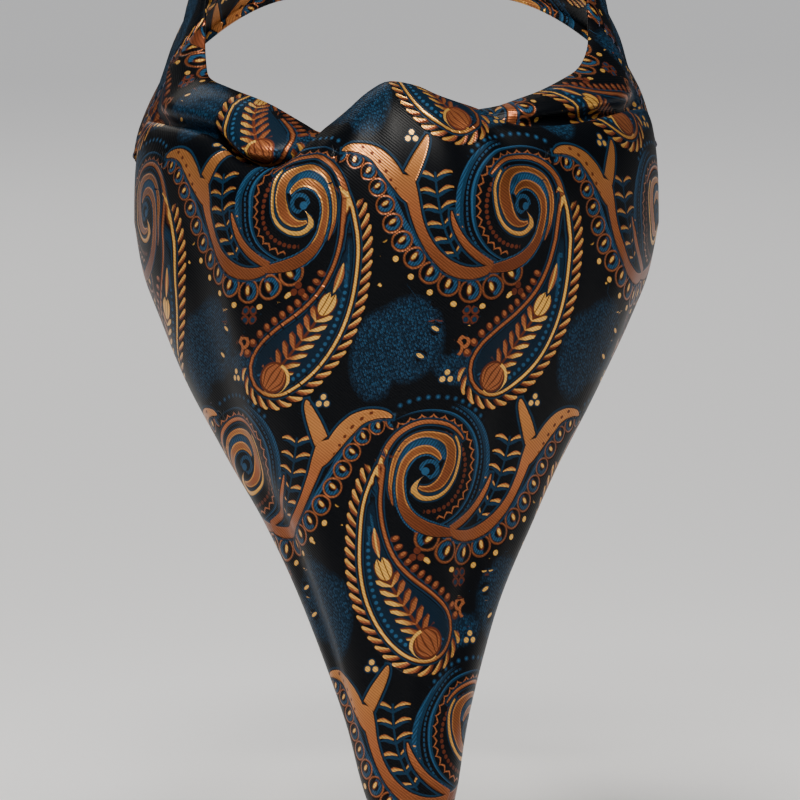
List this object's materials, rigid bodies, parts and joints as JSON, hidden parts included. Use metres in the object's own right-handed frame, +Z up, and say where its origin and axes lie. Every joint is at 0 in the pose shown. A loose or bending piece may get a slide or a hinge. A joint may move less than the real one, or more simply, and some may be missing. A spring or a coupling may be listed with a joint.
{
  "type": "silk cravat",
  "caption": "Day cravat of woven paisley silk in the form it keeps when worn: a pleated band round the neck, ends crossed at the throat, and a broad front blade turned over and spread.",
  "frame": {"origin": "the middle of the neck opening, where the neck holds the cravat up", "axes": "+Z up along the neck, -Y to the front, where the blade hangs, and +X to the viewer's right"},
  "size_m": [0.1649, 0.1684, 0.3015],
  "materials": {
    "neckband": "satin-faced woven silk, near-black blue ground with copper, gold and blue paisley",
    "left_wrap": "satin-faced woven silk, near-black blue ground with copper, gold and blue paisley",
    "right_wrap": "satin-faced woven silk, near-black blue ground with copper, gold and blue paisley",
    "under_blade": "satin-faced woven silk, near-black blue ground with copper, gold and blue paisley",
    "front_blade": "satin-faced woven silk, near-black blue ground with copper, gold and blue paisley"
  },
  "bodies": {
    "root": {"neckband": "neckband", "left_wrap": "left_wrap", "right_wrap": "right_wrap", "under_blade": "under_blade", "front_blade": "front_blade"}
  },
  "joints": []
}
